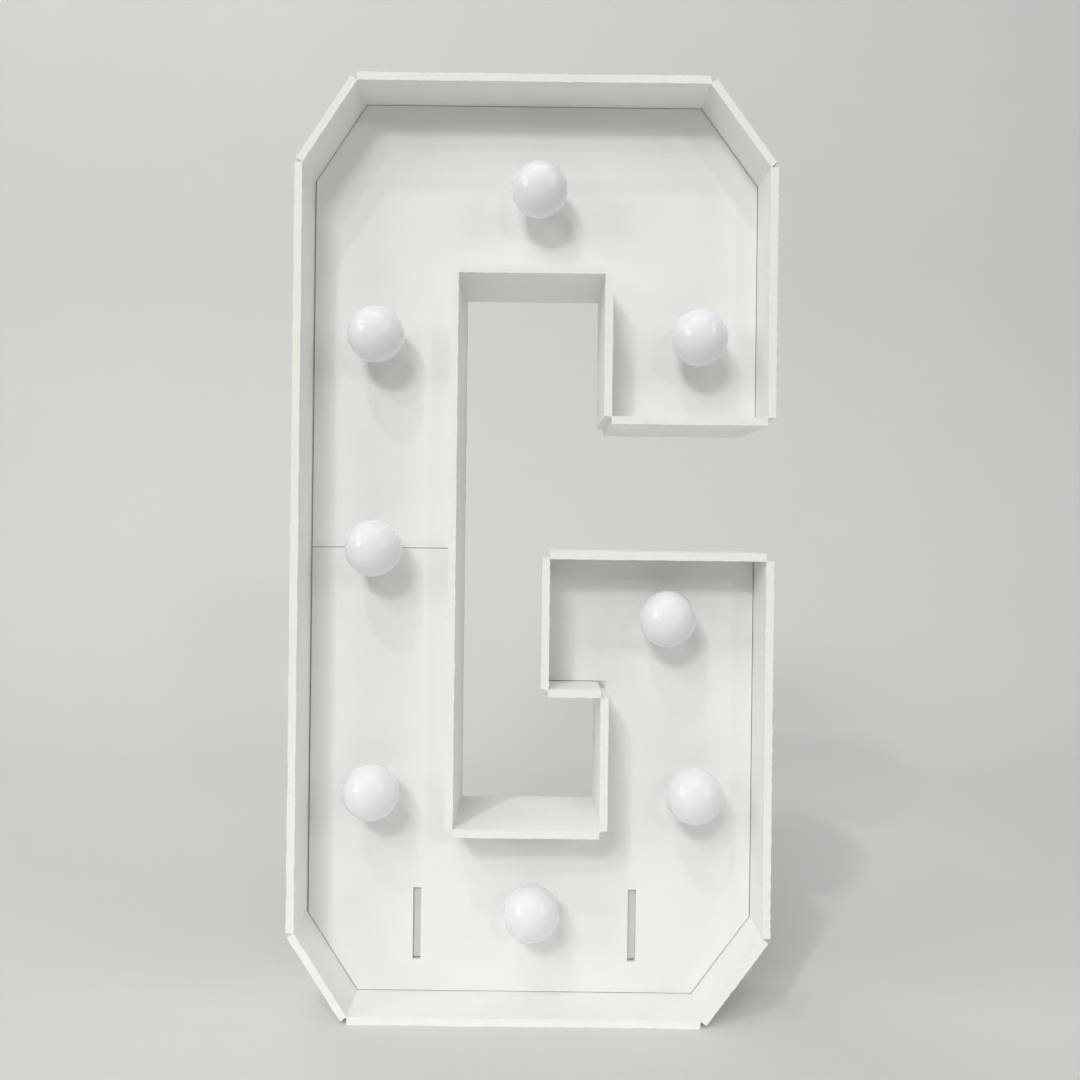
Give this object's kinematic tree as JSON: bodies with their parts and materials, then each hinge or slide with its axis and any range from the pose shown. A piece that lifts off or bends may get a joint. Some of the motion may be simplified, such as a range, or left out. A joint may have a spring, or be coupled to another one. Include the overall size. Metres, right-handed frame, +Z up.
{
  "type": "light-up letter",
  "caption": "Free-standing open-front letter of folded white board with screw-in opal globe lamps, a battery box with a slide switch behind, and plug-in rear feet.",
  "frame": {"origin": "middle of the underside of the bottom wall, half-way between the walls' front and back edges", "axes": "+Z up, +X to the right as seen from the front, +Y towards the back"},
  "size_m": [0.31, 0.1775, 0.61],
  "materials": {
    "board": "white foam board, satin face",
    "opal": "milky white gloss",
    "led": "white board with a yellow light source",
    "lamp_plastic": "white moulded plastic",
    "seal": "pale soft rubber",
    "holder_plastic": "white moulded plastic",
    "box_plastic": "white moulded plastic, fine texture",
    "cell_jacket": "plain dark jacket",
    "contact_metal": "plated strip",
    "tape": "foam tape",
    "switch_plastic": "black moulded plastic"
  },
  "bodies": {
    "letter": {"back_panel_upper": "board", "back_panel_lower": "board", "wall_strip_left": "board", "wall_strip_top": "board", "wall_strip_arm": "board", "wall_strip_counter": "board", "wall_strip_bar": "board", "wall_strip_base": "board", "lamp_holder_1": "holder_plastic", "lamp_holder_2": "holder_plastic", "lamp_holder_3": "holder_plastic", "lamp_holder_4": "holder_plastic", "lamp_holder_5": "holder_plastic", "lamp_holder_6": "holder_plastic", "lamp_holder_7": "holder_plastic", "lamp_holder_8": "holder_plastic", "battery_box": "box_plastic", "battery_cells": "cell_jacket", "battery_contacts": "contact_metal", "mounting_tape": "tape", "switch_body": "switch_plastic"},
    "seal_1": {"seal_ring_1": "seal"},
    "bulb_1": {"globe_1": "opal", "led_board_1": "led", "bulb_base_1": "lamp_plastic"},
    "seal_2": {"seal_ring_2": "seal"},
    "bulb_2": {"globe_2": "opal", "led_board_2": "led", "bulb_base_2": "lamp_plastic"},
    "seal_3": {"seal_ring_3": "seal"},
    "bulb_3": {"globe_3": "opal", "led_board_3": "led", "bulb_base_3": "lamp_plastic"},
    "seal_4": {"seal_ring_4": "seal"},
    "bulb_4": {"globe_4": "opal", "led_board_4": "led", "bulb_base_4": "lamp_plastic"},
    "seal_5": {"seal_ring_5": "seal"},
    "bulb_5": {"globe_5": "opal", "led_board_5": "led", "bulb_base_5": "lamp_plastic"},
    "seal_6": {"seal_ring_6": "seal"},
    "bulb_6": {"globe_6": "opal", "led_board_6": "led", "bulb_base_6": "lamp_plastic"},
    "seal_7": {"seal_ring_7": "seal"},
    "bulb_7": {"globe_7": "opal", "led_board_7": "led", "bulb_base_7": "lamp_plastic"},
    "seal_8": {"seal_ring_8": "seal"},
    "bulb_8": {"globe_8": "opal", "led_board_8": "led", "bulb_base_8": "lamp_plastic"},
    "cover": {"battery_cover": "box_plastic"},
    "switch": {"switch_slider": "switch_plastic"},
    "foot_left": {"stand_foot_left": "board"},
    "foot_right": {"stand_foot_right": "board"}
  },
  "joints": [
    {"name": "bulb_1_advance", "type": "slide", "parent": "letter", "child": "seal_1", "axis": [0, -1, 0], "range_m": [0, 0.01016]},
    {"name": "bulb_1_unscrew", "type": "hinge", "parent": "seal_1", "child": "bulb_1", "pos_m": [0.002, -0.004, 0.541], "axis": [0, -1, 0], "range_deg": [0, 1441]},
    {"name": "bulb_2_advance", "type": "slide", "parent": "letter", "child": "seal_2", "axis": [0, -1, 0], "range_m": [0, 0.01016]},
    {"name": "bulb_2_unscrew", "type": "hinge", "parent": "seal_2", "child": "bulb_2", "pos_m": [-0.104, -0.004, 0.445], "axis": [0, -1, 0], "range_deg": [0, 1441]},
    {"name": "bulb_3_advance", "type": "slide", "parent": "letter", "child": "seal_3", "axis": [0, -1, 0], "range_m": [0, 0.01016]},
    {"name": "bulb_3_unscrew", "type": "hinge", "parent": "seal_3", "child": "bulb_3", "pos_m": [0.108, -0.004, 0.445], "axis": [0, -1, 0], "range_deg": [0, 1441]},
    {"name": "bulb_4_advance", "type": "slide", "parent": "letter", "child": "seal_4", "axis": [0, -1, 0], "range_m": [0, 0.01016]},
    {"name": "bulb_4_unscrew", "type": "hinge", "parent": "seal_4", "child": "bulb_4", "pos_m": [-0.104, -0.004, 0.305], "axis": [0, -1, 0], "range_deg": [0, 1441]},
    {"name": "bulb_5_advance", "type": "slide", "parent": "letter", "child": "seal_5", "axis": [0, -1, 0], "range_m": [0, 0.01016]},
    {"name": "bulb_5_unscrew", "type": "hinge", "parent": "seal_5", "child": "bulb_5", "pos_m": [0.089, -0.004, 0.261], "axis": [0, -1, 0], "range_deg": [0, 1441]},
    {"name": "bulb_6_advance", "type": "slide", "parent": "letter", "child": "seal_6", "axis": [0, -1, 0], "range_m": [0, 0.01016]},
    {"name": "bulb_6_unscrew", "type": "hinge", "parent": "seal_6", "child": "bulb_6", "pos_m": [-0.104, -0.004, 0.145], "axis": [0, -1, 0], "range_deg": [0, 1441]},
    {"name": "bulb_7_advance", "type": "slide", "parent": "letter", "child": "seal_7", "axis": [0, -1, 0], "range_m": [0, 0.01016]},
    {"name": "bulb_7_unscrew", "type": "hinge", "parent": "seal_7", "child": "bulb_7", "pos_m": [0.108, -0.004, 0.145], "axis": [0, -1, 0], "range_deg": [0, 1441]},
    {"name": "bulb_8_advance", "type": "slide", "parent": "letter", "child": "seal_8", "axis": [0, -1, 0], "range_m": [0, 0.01016]},
    {"name": "bulb_8_unscrew", "type": "hinge", "parent": "seal_8", "child": "bulb_8", "pos_m": [0.002, -0.004, 0.067], "axis": [0, -1, 0], "range_deg": [0, 1441]},
    {"name": "cover_slide", "type": "slide", "parent": "letter", "child": "cover", "axis": [0, 0, 1], "range_m": [0, 0.048]},
    {"name": "switch_slide", "type": "slide", "parent": "letter", "child": "switch", "axis": [0, 0, 1], "range_m": [0, 0.003]},
    {"name": "foot_left_pull", "type": "slide", "parent": "letter", "child": "foot_left", "axis": [0, 1, 0], "range_m": [0, 0.012]},
    {"name": "foot_right_pull", "type": "slide", "parent": "letter", "child": "foot_right", "axis": [0, 1, 0], "range_m": [0, 0.012]}
  ],
  "couplings": [
    {"joint": "bulb_1_unscrew", "follows": "bulb_1_advance", "rad_per_m": 2473.7},
    {"joint": "bulb_2_unscrew", "follows": "bulb_2_advance", "rad_per_m": 2473.7},
    {"joint": "bulb_3_unscrew", "follows": "bulb_3_advance", "rad_per_m": 2473.7},
    {"joint": "bulb_4_unscrew", "follows": "bulb_4_advance", "rad_per_m": 2473.7},
    {"joint": "bulb_5_unscrew", "follows": "bulb_5_advance", "rad_per_m": 2473.7},
    {"joint": "bulb_6_unscrew", "follows": "bulb_6_advance", "rad_per_m": 2473.7},
    {"joint": "bulb_7_unscrew", "follows": "bulb_7_advance", "rad_per_m": 2473.7},
    {"joint": "bulb_8_unscrew", "follows": "bulb_8_advance", "rad_per_m": 2473.7}
  ]
}
